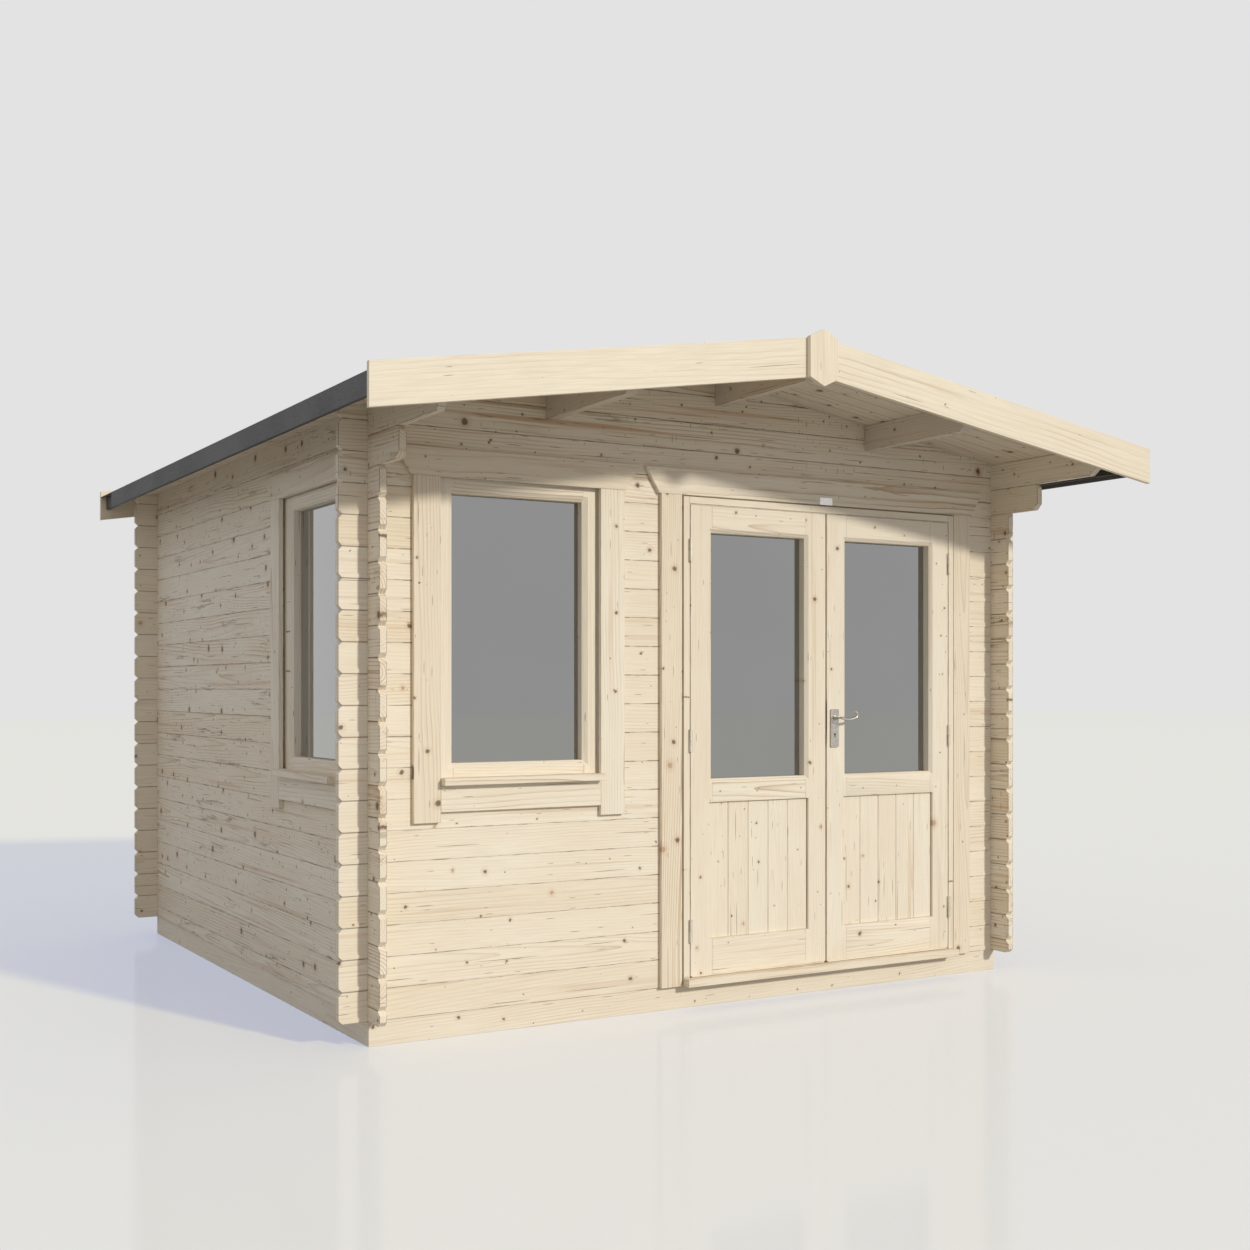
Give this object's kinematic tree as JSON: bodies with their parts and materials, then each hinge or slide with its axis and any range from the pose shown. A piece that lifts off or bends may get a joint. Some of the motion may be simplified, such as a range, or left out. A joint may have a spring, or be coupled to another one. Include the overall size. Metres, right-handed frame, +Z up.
{
  "type": "log cabin",
  "caption": "Small garden log cabin with interlocking corner logs, a low gable roof with a deep front overhang, glazed double doors with a lever handle, a front window and a side window.",
  "frame": {"origin": "centre of the log walls' footprint, on the underside of the middle floor joist at ground level", "axes": "+Z up, +X to the right seen from the front, -Y towards the front with the doors"},
  "size_m": [3.515, 3.8126, 2.5856],
  "materials": {
    "log_wood": "planed, untreated",
    "trim_wood": "planed, untreated",
    "joinery_wood": "sanded, untreated",
    "board_wood": "planed, untreated",
    "base_timber": "sawn, untreated",
    "roofing_felt": "mineral felt",
    "fascia_timber": "dark stained",
    "glass": "clear",
    "hinge_metal": "zinc plated",
    "handle_metal": "satin nickel"
  },
  "bodies": {
    "cabin": {"base_frame": "base_timber", "floor_joists": "base_timber", "floor_boards": "board_wood", "front_wall_under_window": "log_wood", "front_wall_left_end": "log_wood", "front_wall_between_openings": "log_wood", "front_wall_right_end": "log_wood", "front_wall_over_openings": "log_wood", "back_wall": "log_wood", "left_wall_under_window": "log_wood", "left_wall_front_end": "log_wood", "left_wall_back_end": "log_wood", "left_wall_top_log": "log_wood", "right_wall": "log_wood", "right_wall_top_log": "log_wood", "left_eave_purlin": "log_wood", "right_eave_purlin": "log_wood", "roof_purlins": "log_wood", "left_roof_boards": "board_wood", "right_roof_boards": "board_wood", "roof_covering": "roofing_felt", "eave_fascias": "fascia_timber", "front_barge_boards": "trim_wood", "back_barge_boards": "trim_wood", "finials": "trim_wood", "front_window_frame": "joinery_wood", "front_window_sash": "joinery_wood", "front_window_glass": "glass", "front_window_trim": "trim_wood", "front_window_sill": "trim_wood", "side_window_frame": "joinery_wood", "side_window_sash": "joinery_wood", "side_window_glass": "glass", "side_window_trim": "trim_wood", "side_window_sill": "trim_wood", "door_frame": "joinery_wood", "door_stops": "joinery_wood", "door_trim": "trim_wood", "door_sill": "trim_wood", "door_frame_knuckles": "hinge_metal"},
    "left_door": {"left_door_leaf": "joinery_wood", "left_door_glass": "glass", "left_door_panel": "joinery_wood", "left_door_knuckles": "hinge_metal"},
    "right_door": {"right_door_leaf": "joinery_wood", "right_door_glass": "glass", "right_door_panel": "joinery_wood", "right_door_knuckles": "hinge_metal", "right_door_handle_plates": "handle_metal"},
    "lever": {"door_lever": "handle_metal"}
  },
  "joints": [
    {"name": "left_door_hinge", "type": "hinge", "parent": "cabin", "child": "left_door", "pos_m": [-0.1585, -1.52, 1.064], "axis": [0, 0, -1], "range_deg": [0, 110]},
    {"name": "right_door_hinge", "type": "hinge", "parent": "cabin", "child": "right_door", "pos_m": [1.2005, -1.52, 1.064], "axis": [0, 0, 1], "range_deg": [0, 110]},
    {"name": "lever_turn", "type": "hinge", "parent": "right_door", "child": "lever", "pos_m": [0.563, -1.486, 1.148], "axis": [0, 1, 0], "range_deg": [0, 40], "stiffness_Nm_per_rad": 1.5, "springref_deg": -11.46}
  ]
}
